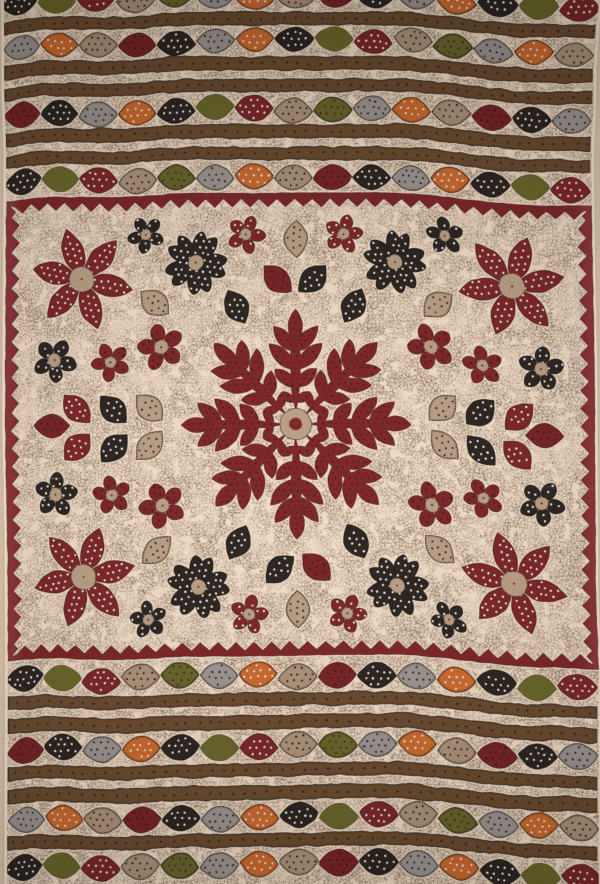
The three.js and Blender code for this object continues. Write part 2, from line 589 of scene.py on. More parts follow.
for map_name, place in (("Cloth", corner_flat * MM), ("Figure", own_place * MM),
                        ("Stripe", stripe_place * MM), ("OFBake", bake_place)):
    uv_map = sheet.data.uv_layers.new(name=map_name)
    uv_map.data.foreach_set("uv", place.astype(np.float32).ravel())
print("maps:", [uv_map.name for uv_map in sheet.data.uv_layers])

# %% Attributes of the faces
CHALK_DOT = 2.3
DARK_DOT = 3.0
NO_DOTS = (0.0, 0.0, 0.0, 0.0)
seed = draw.uniform(0.0, 1.0, len(figures))


def dot_row(colour):
    """A dots' dye with the dots' radius in place of its alpha, or nothing at all."""
    if colour is None:
        return NO_DOTS
    return (*linear(colour)[:3], CHALK_DOT if colour == CHALK else DARK_DOT)


face_tables = {
    "petal": np.stack([shape["fold"], shape["petal_middle"], arc_radius, shape["half_width"]], -1),
    "extra": np.stack([np.radians(shape["split"]), shape["eye"], seed, shape["stitched"]], -1),
    "fill": np.array([(*linear(figure["fill"])[:3], figure["tip"]) for figure in figures]),
    "dots": np.array([dot_row(figure["dots"]) for figure in figures]),
}
for name, values in face_tables.items():
    attribute = sheet.data.attributes.new(name, "FLOAT_COLOR", "FACE")
    attribute.data.foreach_set("color", values[owner].astype(np.float32).ravel())
stripe_half = sheet.data.attributes.new("stripe_half", "FLOAT", "FACE")
stripe_half.data.foreach_set("value", STRIPES[nearest_stripe, 1].astype(np.float32))
print("attributes:", [*face_tables, stripe_half.name])

# %% [markdown]
# ## Building blocks of the material
# A material is a graph of small nodes. One function adds a node, sets it up and links it. Groups hold the
# geometry that is used again and again: a lens with two round edges, a fold that lays all petals on one,
# and a figure made of both. They answer one question for any point: how far inside the edge is it?


# %% One function for every node
def node(tree, kind, links=(), operation=None, **settings):
    """Adds a node, sets its operation and properties, and fills its sockets, in order or by name."""
    made = tree.nodes.new(kind if kind.startswith("NodeGroup") else "ShaderNode" + kind)
    if operation:
        made.operation = operation
    for name, value in settings.items():
        setattr(made, name, value)
    shown = [socket for socket in made.inputs if socket.enabled]
    for key, value in links.items() if isinstance(links, dict) else enumerate(links):
        socket = shown[key] if isinstance(key, int) else made.inputs[key]
        if isinstance(value, bpy.types.Node):
            value = next(output for output in value.outputs if output.enabled)
        if isinstance(value, bpy.types.NodeSocket):
            tree.links.new(value, socket)
        else:
            socket.default_value = value
    return made


def new_group(name, inputs, outputs):
    """An empty group, the node function bound to it, and its inputs: Place a vector, the rest numbers."""
    group = bpy.data.node_groups.new(name, "ShaderNodeTree")
    for direction, sockets in (("INPUT", inputs), ("OUTPUT", outputs)):
        for socket in sockets:
            kind = "NodeSocketVector" if socket == "Place" else "NodeSocketFloat"
            group.interface.new_socket(socket, in_out=direction, socket_type=kind)
    put = partial(node, group)
    return group, put, put("NodeGroupInput").outputs[:len(inputs)]


# %% A lens: two round edges that meet in drawn-out points
lens, put, (down, aside, arc, half, tip) = new_group(
    "lens edge", ["Down", "Aside", "Arc radius", "Half width", "Tip"], ["Inside", "Round edge"])

# The half width at a place is the widest one times what is left of 1 after the share of the length squared.
to_middle = put("Math", [arc, half], "SUBTRACT")
arc_square = put("Math", [arc, 2.0], "POWER")
middle_square = put("Math", [to_middle, 2.0], "POWER")
length_square = put("Math", [arc_square, middle_square], "SUBTRACT")
down_square = put("Math", [down, down], "MULTIPLY")
share = put("Math", [down_square, length_square], "DIVIDE")
left_over = put("Math", [1.0, share], "SUBTRACT")
size = put("Math", [left_over], "ABSOLUTE")
drawn_out = put("Math", [size, tip], "POWER")
profile = put("Math", [left_over, drawn_out], "MULTIPLY")
half_here = put("Math", [profile, half], "MULTIPLY")
off_axis = put("Math", [aside], "ABSOLUTE")
depth = put("Math", [half_here, off_axis], "SUBTRACT")

# The edge slants, so the straight way to it is shorter, by the root of one plus its slope squared.
growth = put("Math", [tip, 2.0, 2.0], "MULTIPLY_ADD")
slope = half
for factor in (growth, drawn_out, down):
    slope = put("Math", [slope, factor], "MULTIPLY")
slope = put("Math", [slope, length_square], "DIVIDE")
steep = put("Math", [slope, slope, 1.0], "MULTIPLY_ADD")
steep = put("Math", [steep], "SQRT")
inside = put("Math", [depth, steep], "DIVIDE")

# The way round the edge is the angle seen from the arc's middle, times the arc's radius.
beyond = put("Math", [off_axis, to_middle], "ADD")
angle = put("Math", [down, beyond], "ARCTAN2")
round_edge = put("Math", [angle, arc], "MULTIPLY")
put("NodeGroupOutput", [inside, round_edge])
print(lens.name, "has", len(lens.nodes), "nodes")

# %% A fold: all the slices round a middle laid on one half slice
fold, put, (place, times, split) = new_group(
    "fold", ["Place", "Fold", "Split"], ["Outward", "Sideways", "Seam"])
on = put("SeparateXYZ", [place])
angle = put("Math", [on.outputs["Y"], on.outputs["X"]], "ARCTAN2")
reach = put("VectorMath", [place], "LENGTH")
half_step = put("Math", [math.pi, times], "DIVIDE")
back_step = put("Math", [half_step, -1.0], "MULTIPLY")
turned = put("Math", [angle, half_step, back_step], "WRAP")
folded = put("Math", [turned], "ABSOLUTE")
from_axis = put("Math", [folded, split], "SUBTRACT")
cosine = put("Math", [from_axis], "COSINE")
sine = put("Math", [from_axis], "SINE")
outward = put("Math", [reach, cosine], "MULTIPLY")
sideways = put("Math", [reach, sine], "MULTIPLY")
to_seam = put("Math", [half_step, folded], "SUBTRACT")
seam = put("Math", [to_seam, reach], "MULTIPLY")
put("NodeGroupOutput", [outward, sideways, seam])
print(fold.name, "has", len(fold.nodes), "nodes")

# %% A figure: one lens, folded round a middle
petals, put, (place, times, middle, arc, half, split, tip) = new_group(
    "petal figure", ["Place", "Fold", "Middle", "Arc radius", "Half width", "Split", "Tip"],
    ["Inside", "Round edge", "Seam"])
slice_here = put("Group", [place, times, split], node_tree=fold)
down = put("Math", [slice_here.outputs["Outward"], middle], "SUBTRACT")
petal = put("Group", [down, slice_here.outputs["Sideways"], arc, half, tip], node_tree=lens)
put("NodeGroupOutput", [petal.outputs["Inside"], petal.outputs["Round edge"], slice_here.outputs["Seam"]])
print(petals.name, "has", len(petals.nodes), "nodes")

# %% [markdown]
# The wheel of feathers in the middle of the field is folded the same way, eight times, and so mirrored.
# One half of one feather is left: a rib and its leaflets, each a lens at its own place and slant.

# %% The feather wheel
WHEEL_FOLD = 8
# Columns: foot on the rib, slant in degrees, length, half width.
LEAFLETS = [
    (30.0, 0.0, 230.0, 13.0),
    (204.0, 0.0, 84.0, 20.0),
    (54.0, 54.0, 46.0, 12.0),
    (92.0, 48.0, 71.0, 17.0),
    (136.0, 45.0, 94.0, 19.0),
    (180.0, 40.0, 86.0, 18.0),
]
wheel, put, (place,) = new_group("feather wheel", ["Place"], ["Inside"])
slice_here = put("Group", [place, WHEEL_FOLD, 0.0], node_tree=fold)
half_feather = put("CombineXYZ", [slice_here.outputs["Outward"], slice_here.outputs["Sideways"]])
inside = None
for foot, slant, length, width in LEAFLETS:
    own = put("Mapping", {"Vector": half_feather, "Location": (foot, 0, 0),
                          "Rotation": (0, 0, math.radians(slant))}, vector_type="TEXTURE")
    on = put("SeparateXYZ", [own])
    down = put("Math", [on.outputs["X"], length / 2], "SUBTRACT")
    arc = ((length / 2) ** 2 + width ** 2) / (2 * width)
    leaflet = put("Group", [down, on.outputs["Y"], arc, width, LEAF_TIP], node_tree=lens)
    inside = leaflet if inside is None else put("Math", [inside, leaflet], "MAXIMUM")
put("NodeGroupOutput", [inside])
print(wheel.name, "has", len(wheel.nodes), "nodes")

# %% [markdown]
# ## Printed cotton
# The cloth is plain-weave cotton sheeting, printed in flat opaque colours and left without a glaze, so it
# looks matt and evenly coloured, with soft edges where the dye has crept a little along the threads. The
# print is drawn in layers, as a printer lays them down: ground, stripes, border, wheel and figures. Each
# layer is a function that takes the colour below it and gives the colour with the layer on it. What the
# layers measure is kept by name in one set, called at.

# %% One printing step, and a lattice of dots
# How far the dye creeps to both sides of an edge.
SOFT = 0.6
DOT_SCATTER = 0.28


def ink(put, under, dye, inside, within=1.0):
    """Lays a dye over a colour: its share rises from 0 to 1 over the soft edge, times the share within."""
    share = put("MapRange", [inside, -SOFT, SOFT, 0.0, 1.0])
    share = put("Math", [share, within], "MULTIPLY")
    return put("Mix", [share, under, dye], data_type="RGBA")


def nearest_dot(put, place, pitch):
    """The middle of the dot nearest to a place, on a lattice of even triangles with a little scatter."""
    row_step = pitch * math.sqrt(0.75)
    along_row = put("VectorMath", [place, (1 / pitch, -0.5 / row_step, 0.0)], "DOT_PRODUCT")
    up_rows = put("VectorMath", [place, (0.0, 1 / row_step, 0.0)], "DOT_PRODUCT")
    lattice = put("CombineXYZ", [along_row, up_rows])
    cells = put("TexVoronoi", {"Vector": lattice, "Scale": 1.0, "Randomness": DOT_SCATTER},
                voronoi_dimensions="2D")
    middle = cells.outputs["Position"]
    across = put("VectorMath", [middle, (pitch, pitch / 2, 0.0)], "DOT_PRODUCT")
    along = put("VectorMath", [middle, (0.0, row_step, 0.0)], "DOT_PRODUCT")
    return put("CombineXYZ", [across, along])


print("the soft edge of a dye is", 2 * SOFT, "mm wide")

# %% Places to measure from
# Noise is read on the flat cloth. Its colour swings about this middle.
FLAT = {"noise_dimensions": "2D"}
NOISE_MIDDLE = (0.5, 0.5, 0.5)
WOBBLE = 5.0
WOBBLE_RUN = 38.0


def places(put):
    """Places on the cloth in millimetres, the way to the print's sides, and a hand-drawn line's wobble."""
    at = SimpleNamespace()
    at.cloth, at.figure, at.stripe = (
        put("VectorMath", [put("UVMap", uv_map=name), 1 / MM], "SCALE")
        for name in ("Cloth", "Figure", "Stripe"))
    on_cloth = put("SeparateXYZ", [at.cloth])
    at.across, at.along = on_cloth.outputs["X"], on_cloth.outputs["Y"]
    at.off_stripe = put("SeparateXYZ", [at.stripe]).outputs["Y"]
    from_middle = put("Math", [at.across], "ABSOLUTE")
    at.to_side = put("Math", [PRINT_HALF, from_middle], "SUBTRACT")
    drift = put("TexNoise", {"Vector": at.cloth, "Scale": 1 / WOBBLE_RUN, "Detail": 1.5}, **FLAT)
    drift = put("VectorMath", [drift.outputs["Color"], NOISE_MIDDLE], "SUBTRACT")
    at.wobble = put("VectorMath", [drift, WOBBLE], "SCALE")
    return at


print("lines wobble by up to", WOBBLE / 2, "mm")

# %% [markdown]
# Each stripe is a band with edges that look cut by hand, so its half width changes with a slow noise. Its
# edge is sewn with drawn blanket stitches, and a row of dots wanders along its middle. The stitches come
# from a wave along the stripe, and the dots from cells along one line.

# %% Stripes: their edges
STRIPE_WANDER = 3.7
STRIPE_WANDER_RUN = 58.0
# At the right the stripes stop this far short of the printed ground.
RIGHT_SET_IN = 3.2
# Each edge reads the noise on a row of its own: upper edges this far from lower ones, and all spread out.
EDGE_APART = 370.0
EDGE_SPREAD = 11.0
# A noise swings about a half, and most of it lies between these two values.
MOST_NOISE = (0.25, 0.75)


def stripe_edge(put, at):
    """Depth in a stripe: its half width plus a slow noise, less the way to its line, and cut at the sides."""
    at.stripe_line = put("Math", [at.along, at.off_stripe], "SUBTRACT")
    upper = put("Math", [at.off_stripe, 0.0], "GREATER_THAN")
    edge_row = put("Math", [upper, EDGE_APART, at.stripe_line], "MULTIPLY_ADD")
    edge_row = put("Math", [edge_row, EDGE_SPREAD], "MULTIPLY")
    on_edge = put("CombineXYZ", [at.across, edge_row])
    cut = put("TexNoise", {"Vector": on_edge, "Scale": 1 / STRIPE_WANDER_RUN, "Detail": 3.0,
                           "Roughness": 0.55}, **FLAT)
    wander = put("MapRange", [cut, *MOST_NOISE, -STRIPE_WANDER, STRIPE_WANDER])
    half = put("Attribute", attribute_name="stripe_half")
    thick = put("Math", [wander, half.outputs["Fac"]], "ADD")
    from_line = put("Math", [at.off_stripe], "ABSOLUTE")
    inside = put("Math", [thick, from_line], "SUBTRACT")
    inside = put("Math", [inside, at.to_side], "MINIMUM")
    to_right = put("Math", [PRINT_HALF - RIGHT_SET_IN, at.across], "SUBTRACT")
    return put("Math", [inside, to_right], "MINIMUM")


print("stripes:", len(STRIPES), "with edges that wander by", STRIPE_WANDER, "mm")

# %% Stripes: dye, stitches and dots
# Real blanket stitches are closer: these are drawn coarser, so that they show at this distance.
STITCH_PITCH = 6.6
STITCH_LENGTH = 5.4
STITCH_HALF = 1.3
STRIPE_RIM = 1.4
STRIPE_INK = 0.9
STRIPE_DOT = 3.2
STRIPE_DOT_PITCH = 29.0
STRIPE_DOT_SCATTER = 0.3
DOT_SWING = 3.5
DOT_SWING_RUN = 85.0
# Each stripe starts its dots and their swing elsewhere: its place along times these.
DOT_START = 0.37
SWING_START = 7.0


def print_stripes(put, at, colour):
    """Brown inside the edge, ink where a wave of stitches reaches in, and ink dots on a swinging line."""
    colour = ink(put, colour, linear(BROWN), at.in_stripe)
    kept = put("MapRange", [at.in_stripe, -SOFT, SOFT, 0.0, STRIPE_INK])
    wave = put("Math", [at.across, STITCH_PITCH / 2], "PINGPONG")
    stitch = put("MapRange", [wave, STITCH_HALF - SOFT, STITCH_HALF + SOFT, STITCH_LENGTH, STRIPE_RIM])
    in_stitch = put("Math", [stitch, at.in_stripe], "SUBTRACT")
    colour = ink(put, colour, linear(INK), in_stitch, kept)

    in_row = put("Math", [at.across, 1 / STRIPE_DOT_PITCH], "MULTIPLY")
    in_row = put("Math", [at.stripe_line, DOT_START, in_row], "MULTIPLY_ADD")
    dots = put("TexVoronoi", {"W": in_row, "Scale": 1.0, "Randomness": STRIPE_DOT_SCATTER},
               voronoi_dimensions="1D")
    dot_along = put("Math", [dots.outputs["Distance"], STRIPE_DOT_PITCH], "MULTIPLY")
    swing_row = put("Math", [at.stripe_line, SWING_START], "MULTIPLY")
    on_row = put("CombineXYZ", [at.across, swing_row])
    swing = put("TexNoise", {"Vector": on_row, "Scale": 1 / DOT_SWING_RUN, "Detail": 1.0}, **FLAT)
    swing = put("MapRange", [swing, *MOST_NOISE, -DOT_SWING, DOT_SWING])
    dot_across = put("Math", [at.off_stripe, swing], "SUBTRACT")
    reach = put("VectorMath", [put("CombineXYZ", [dot_along, dot_across])], "LENGTH")
    in_dot = put("Math", [STRIPE_DOT, reach], "SUBTRACT")
    return ink(put, colour, linear(INK), in_dot, kept)


print("drawn stitches along a stripe:", round(2 * PRINT_HALF / STITCH_PITCH))

# %% [markdown]
# The border is a red band all round the field with teeth that point inwards. The way in from the field's
# outline says how deep a point is, and a wave along that outline says how far the band reaches there. At
# each corner a thin mitre line is left bare between the two bands.

# %% Border: its edge
BORDER_BAND = 17.0
TOOTH_DEPTH = 20.5
TOOTH_PITCH = 44.545
SIDE_TOOTH_PITCH = 44.7
SIDE_TOOTH_START = 64.3
RIGHT_TEETH_RISE = 5.0
MITRE_START = 15.0
MITRE_HALF = 1.5


def border_edge(put, at):
    """Depth in the border: the band plus a wave of teeth, less the way in, cut at the outline and mitres."""
    field_along = put("Math", [at.along, FIELD_MIDDLE[1]], "SUBTRACT")
    field_off = put("Math", [field_along], "ABSOLUTE")
    to_end = put("Math", [FIELD_HALF, field_off], "SUBTRACT")
    sway = put("SeparateXYZ", [at.wobble])
    at.to_end = put("Math", [to_end, sway.outputs["X"]], "ADD")
    to_side = put("Math", [at.to_side, sway.outputs["Y"]], "ADD")
    way_in = put("Math", [at.to_end, to_side], "MINIMUM")

    at_right = put("Math", [at.across, 0.0], "GREATER_THAN")
    side_off = put("Math", [at_right, -RIGHT_TEETH_RISE, field_along], "MULTIPLY_ADD")
    side_off = put("Math", [side_off], "ABSOLUTE")
    side_run = put("Math", [FIELD_HALF - SIDE_TOOTH_START, side_off], "SUBTRACT")
    side_teeth = put("Math", [side_run, SIDE_TOOTH_PITCH], "DIVIDE")
    end_teeth = put("Math", [at.to_side, TOOTH_PITCH], "DIVIDE")
    by_side = put("Math", [to_side, at.to_end], "LESS_THAN")
    teeth = put("Mix", [by_side, end_teeth, side_teeth], data_type="FLOAT")
    tooth = put("Math", [teeth, 0.5], "PINGPONG")
    reach = put("MapRange", [tooth, 0.0, 0.5, BORDER_BAND + TOOTH_DEPTH, BORDER_BAND])
    to_tooth = put("Math", [reach, way_in], "SUBTRACT")
    inside = put("Math", [to_tooth, way_in], "MINIMUM")

    off_mitre = put("Math", [at.to_end, to_side], "SUBTRACT")
    off_mitre = put("Math", [off_mitre], "ABSOLUTE")
    off_mitre = put("Math", [off_mitre, math.sqrt(0.5), -MITRE_HALF], "MULTIPLY_ADD")
    before_mitre = put("Math", [MITRE_START, way_in], "SUBTRACT")
    off_mitre = put("Math", [off_mitre, before_mitre], "MAXIMUM")
    return put("Math", [inside, off_mitre], "MINIMUM")


print("teeth along an end of the field:", round(2 * PRINT_HALF / TOOTH_PITCH))

# %% Border: its dye
# The edge is darker: over this way in, and by this share.
RIM_FADE = (1.6, 2.6)
RIM_SHARE = 0.7
# Painted sheen: the red is lighter along the two sides, fading over this way in.
SIDE_SHEEN_FADE = (12.0, 45.0)


def print_border(put, at, colour):
    """Red inside the edge, with a painted sheen that lightens it near the sides, and darker at the edge."""
    side_sheen = put("MapRange", [at.to_side, *SIDE_SHEEN_FADE, 1.0, 0.0])
    dye = put("Mix", [side_sheen, linear(RED), linear(SIDE_SHEEN_RED)], data_type="RGBA")
    rim = put("MapRange", [at.in_border, *RIM_FADE, RIM_SHARE, 0.0])
    dye = put("Mix", [rim, dye, linear(RED_EDGE)], data_type="RGBA")
    return ink(put, colour, dye, at.in_border)


print("the darker line along the border is", RIM_FADE[1], "mm wide")

# %% [markdown]
# Under everything lies a cream ground with a thin scribbled crackle, like that of wax-resist cloth. It is
# drawn as two kinds of line: a net of crooked cells, and worms where a fine noise passes its middle value.
# A cloud noise makes the lines thicker and thinner, a smaller one leaves bare patches, and the bands have
# a little more of it than the field. Printed figures keep a narrow clear halo.

# %% Crackle ground
CLOUD_RUN = 80.0
BAND_CRACKLE = 0.06
BAND_FADE = (-10.0, 10.0)
CROOK = 10.0
CROOK_RUN = 8.0
PATCH_RUN = 26.0
PATCH_FADE = (0.3, 0.4)
PATCH_THINNING = 0.16
NET_CELL = 8.4
NET_CLOUD = (0.28, 0.64)
NET_WIDTH = (0.028, 0.108)
NET_SOFT = 0.03
WORM_RUN = 5.6
WORM_CLOUD = (0.34, 0.7)
WORM_WIDTH = (0.005, 0.041)
WORM_SOFT = 0.015
WORM_THINNING = 0.4


def crackle_lines(put, at):
    """Share of crackle dye: the stronger of net and worms, each a cloudy width less the way to its line."""
    cloud = put("TexNoise", {"Vector": at.cloth, "Scale": 1 / CLOUD_RUN, "Detail": 4.0, "Roughness": 0.55},
                **FLAT)
    in_bands = put("MapRange", [at.to_end, *BAND_FADE, BAND_CRACKLE, 0.0])
    cloud = put("Math", [cloud, in_bands], "ADD")
    patch = put("TexNoise", {"Vector": at.cloth, "Scale": 1 / PATCH_RUN, "Detail": 2.0}, **FLAT)
    thinning = put("MapRange", [patch, *PATCH_FADE, PATCH_THINNING, 0.0])
    crook = put("TexNoise", {"Vector": at.cloth, "Scale": 1 / CROOK_RUN, "Detail": 2.0}, **FLAT)
    crook = put("VectorMath", [crook.outputs["Color"], NOISE_MIDDLE], "SUBTRACT")
    crook = put("VectorMath", [crook, CROOK], "SCALE")
    crooked = put("VectorMath", [at.cloth, crook], "ADD")

    net = put("TexVoronoi", {"Vector": crooked, "Scale": 1 / NET_CELL}, feature="DISTANCE_TO_EDGE",
              voronoi_dimensions="2D")
    net_width = put("MapRange", [cloud, *NET_CLOUD, *NET_WIDTH])
    net_width = put("Math", [net_width, thinning], "SUBTRACT")
    net_edge = put("Math", [net_width, net], "SUBTRACT")
    net_line = put("MapRange", [net_edge, -NET_SOFT, NET_SOFT, 0.0, 1.0])

    worm = put("TexNoise", {"Vector": crooked, "Scale": 1 / WORM_RUN, "Detail": 0.0}, **FLAT)
    worm_off = put("Math", [worm, 0.5], "SUBTRACT")
    worm_off = put("Math", [worm_off], "ABSOLUTE")
    worm_width = put("MapRange", [cloud, *WORM_CLOUD, *WORM_WIDTH])
    worm_width = put("Math", [thinning, -WORM_THINNING, worm_width], "MULTIPLY_ADD")
    worm_edge = put("Math", [worm_width, worm_off], "SUBTRACT")
    worm_line = put("MapRange", [worm_edge, -WORM_SOFT, WORM_SOFT, 0.0, 1.0])
    return put("Math", [net_line, worm_line], "MAXIMUM")


print("crackle cells of", NET_CELL, "mm and worms of", WORM_RUN, "mm")

# %% Ground with its halo
HALO_FADE = (-3.0, -1.0)
GROUND_END = (-1.5, 0.5)


def print_ground(put, at):
    """Cream with crackle, both giving way to a clear halo near printed edges and past the print's sides."""
    near_print = at.in_figure
    for inside in (at.in_stripe, at.in_border, at.in_wheel):
        near_print = put("Math", [near_print, inside], "MAXIMUM")
    open_ground = put("MapRange", [near_print, *HALO_FADE, 1.0, 0.0])
    in_print = put("MapRange", [at.to_side, *GROUND_END, 0.0, 1.0])
    open_ground = put("Math", [open_ground, in_print], "MULTIPLY")
    crackle = put("Math", [crackle_lines(put, at), open_ground], "MULTIPLY")
    bare = put("Mix", [open_ground, linear(HALO), linear(CREAM)], data_type="RGBA")
    return put("Mix", [crackle, bare, linear(CRACKLE)], data_type="RGBA")


print("the halo reaches", -HALO_FADE[0], "mm from an edge")

# %% [markdown]
# Leaves and flowers are read from the face: its sizes and dyes, and the point's place in the figure. Each
# leaf is bent a little to one side, as if drawn by hand. The figure is measured twice, at the point and at
# the middle of the nearest dot, so that only whole dots are printed, clear of the edge.

# %% Figures: their edges
LEAF_BEND = 3.5
DOT_PITCH = 17.5
# Each figure's dots come from another part of the lattice, up to this far away.
DOT_JUMP = 900.0
# Any number between one petal and the fewest petals of a flower.
ONE_PETAL = 1.5


def figure_edges(put, at):
    """Depth in the face's figure here and at the nearest dot, and in its eye, all in millimetres."""
    petal, extra, at.fill, at.dots = (
        put("Attribute", attribute_name=name) for name in ("petal", "extra", "fill", "dots"))
    sizes = put("SeparateXYZ", [petal.outputs["Vector"]]).outputs
    more = put("SeparateXYZ", [extra.outputs["Vector"]]).outputs
    at.times, at.stitched = sizes["X"], extra.outputs["Alpha"]
    at.single = put("Math", [at.times, ONE_PETAL], "LESS_THAN")

    drawn = put("VectorMath", [at.figure, at.wobble], "ADD")
    bend = put("MapRange", [more["Z"], 0.0, 1.0, -LEAF_BEND, LEAF_BEND])
    bend = put("Math", [bend, at.single], "MULTIPLY")
    leaf_share = put("VectorMath", [drawn, (1 / LEAF_HALF_LENGTH, 0.0, 0.0)], "DOT_PRODUCT")
    arch = put("Math", [leaf_share, 2.0], "POWER")
    bend = put("Math", [arch, bend, bend], "MULTIPLY_ADD")
    drawn = put("VectorMath", [drawn, put("CombineXYZ", [0.0, bend])], "ADD")

    jump = put("Math", [more["Z"], DOT_JUMP], "MULTIPLY")
    jumped = put("CombineXYZ", [jump, jump])
    dot_field = put("VectorMath", [drawn, jumped], "ADD")
    dot_middle = put("VectorMath", [nearest_dot(put, dot_field, DOT_PITCH), jumped], "SUBTRACT")
    at.dot_reach = put("VectorMath", [dot_middle, drawn], "DISTANCE")

    form = [at.times, sizes["Y"], sizes["Z"], petal.outputs["Alpha"], more["X"], at.fill.outputs["Alpha"]]
    here = put("Group", [drawn, *form], node_tree=petals)
    at.dot_inside = put("Group", [dot_middle, *form], node_tree=petals)
    at.in_figure = put("Math", [here.outputs["Inside"], at.to_side], "MINIMUM")
    at.round_edge, at.seam = here.outputs["Round edge"], here.outputs["Seam"]
    at.from_heart = put("VectorMath", [drawn], "LENGTH")
    at.in_eye = put("Math", [more["Y"], at.from_heart], "SUBTRACT")


print("dots", DOT_PITCH, "mm apart in figures")

# %% Figures: fill and outline
OUTLINE = 2.6
# Strength of the outline on a plain leaf, and on one with dots.
OUTLINE_SHARES = (0.35, 0.8)
EDGE_SHADE = 0.45
SEAM_FADE = (0.5, 1.3)
SEAM_SHARE = 0.8


def print_figures(put, at, colour):
    """Fill inside the edge, then a darker line along edge and seams, and ink ticks on stitched leaves."""
    fill = at.fill.outputs["Color"]
    colour = ink(put, colour, fill, at.in_figure)
    figure_mask = put("MapRange", [at.in_figure, -SOFT, SOFT, 0.0, 1.0])
    rim = put("MapRange", [at.in_figure, OUTLINE - SOFT, OUTLINE + SOFT, 1.0, 0.0])
    rim_share = put("MapRange", [at.dots.outputs["Alpha"], 0.0, 1.0, *OUTLINE_SHARES])
    rim = put("Math", [rim, rim_share], "MULTIPLY")

    wave = put("Math", [at.round_edge, STITCH_PITCH / 2], "PINGPONG")
    tick = put("MapRange", [wave, STITCH_HALF - SOFT, STITCH_HALF + SOFT, 1.0, 0.0])
    tick_end = put("MapRange", [at.in_figure, STITCH_LENGTH - SOFT, STITCH_LENGTH + SOFT, 1.0, 0.0])
    tick = put("Math", [tick, tick_end], "MULTIPLY")
    tick = put("Math", [tick, at.stitched], "MULTIPLY")
    several = put("Math", [at.times, ONE_PETAL], "GREATER_THAN")
    seam_line = put("MapRange", [at.seam, *SEAM_FADE, SEAM_SHARE, 0.0])
    seam_line = put("Math", [seam_line, several], "MULTIPLY")

    for line in (tick, seam_line):
        rim = put("Math", [rim, line], "MAXIMUM")
    rim = put("Math", [rim, figure_mask], "MULTIPLY")
    edge_dye = put("VectorMath", [fill, EDGE_SHADE], "SCALE")
    edge_dye = put("Mix", [at.stitched, edge_dye, linear(INK)], data_type="RGBA")
    return put("Mix", [rim, colour, edge_dye], data_type="RGBA")


print("outlines", OUTLINE, "mm wide")

# %% Figures: dots and eyes
# Dots keep this far from the edge of a leaf, and of a petal.
LEAF_DOT_EDGE = 8.2
PETAL_DOT_EDGE = 5.5
LEAST_DOT = 1.0
EYE_RING = 1.0
PIP_RADIUS = 2.8


def print_dots_and_eyes(put, at, colour):
    """Dots inside their radius where there is room, then an eye: an ink ring, sand and a small pip."""
    dot_radius = at.dots.outputs["Alpha"]
    in_dot = put("Math", [dot_radius, at.dot_reach], "SUBTRACT")
    from_edge = put("Math", [at.single, LEAF_DOT_EDGE - PETAL_DOT_EDGE, PETAL_DOT_EDGE], "MULTIPLY_ADD")
    room = put("Math", [at.dot_inside, from_edge], "GREATER_THAN")
    dotted = put("Math", [dot_radius, LEAST_DOT], "GREATER_THAN")
    room = put("Math", [room, dotted], "MULTIPLY")
    colour = ink(put, colour, at.dots.outputs["Color"], in_dot, room)

    colour = ink(put, colour, linear(INK), at.in_eye)
    in_ring = put("Math", [at.in_eye, EYE_RING], "SUBTRACT")
    colour = ink(put, colour, linear(SAND), in_ring)
    eye_mask = put("MapRange", [in_ring, -SOFT, SOFT, 0.0, 1.0])
    in_pip = put("Math", [PIP_RADIUS, at.from_heart], "SUBTRACT")
    return ink(put, colour, linear(UMBER), in_pip, eye_mask)


print("dots", LEAF_DOT_EDGE, "mm from a leaf's edge and", PETAL_DOT_EDGE, "mm from a petal's")

# %% [markdown]
# The wheel is measured in the same way, from the middle of the field. Its eye is three rings, printed one
# over the other, and they hide the feet of the feathers.

# %% The feather wheel on the cloth
WHEEL_DOT_PITCH = 16.0
WHEEL_DOT_EDGE = 4.4
# Rings of the wheel's eye, from the outside in. Columns: radius, dye.
WHEEL_EYE = [(40.0, INK), (38.0, SAND), (16.0, RED)]


def wheel_edges(put, at):
    """Depth inside the wheel here and at the nearest dot, and the way from its middle."""
    in_field = put("VectorMath", [at.cloth, (*FIELD_MIDDLE, 0.0)], "SUBTRACT")
    drawn = put("VectorMath", [in_field, at.wobble], "ADD")
    dot_middle = nearest_dot(put, drawn, WHEEL_DOT_PITCH)
    at.in_wheel = put("Group", [drawn], node_tree=wheel)
    at.wheel_dot_inside = put("Group", [dot_middle], node_tree=wheel)
    at.wheel_dot_reach = put("VectorMath", [dot_middle, drawn], "DISTANCE")
    at.wheel_reach = put("VectorMath", [drawn], "LENGTH")


def print_wheel(put, at, colour):
    """Red feathers with a darker edge and wine dots, and an eye of three rings over their feet."""
    colour = ink(put, colour, linear(RED), at.in_wheel)
    wheel_mask = put("MapRange", [at.in_wheel, -SOFT, SOFT, 0.0, 1.0])
    rim = put("MapRange", [at.in_wheel, *RIM_FADE, RIM_SHARE, 0.0])
    rim = put("Math", [rim, wheel_mask], "MULTIPLY")
    colour = put("Mix", [rim, colour, linear(RED_EDGE)], data_type="RGBA")
    in_dot = put("Math", [DARK_DOT - SOFT, at.wheel_dot_reach], "SUBTRACT")
    room = put("Math", [at.wheel_dot_inside, WHEEL_DOT_EDGE], "GREATER_THAN")
    colour = ink(put, colour, linear(WINE), in_dot, room)
    for radius, dye in WHEEL_EYE:
        in_eye = put("Math", [radius, at.wheel_reach], "SUBTRACT")
        colour = ink(put, colour, linear(dye), in_eye)
    return colour


print("rings of the wheel's eye:", len(WHEEL_EYE))
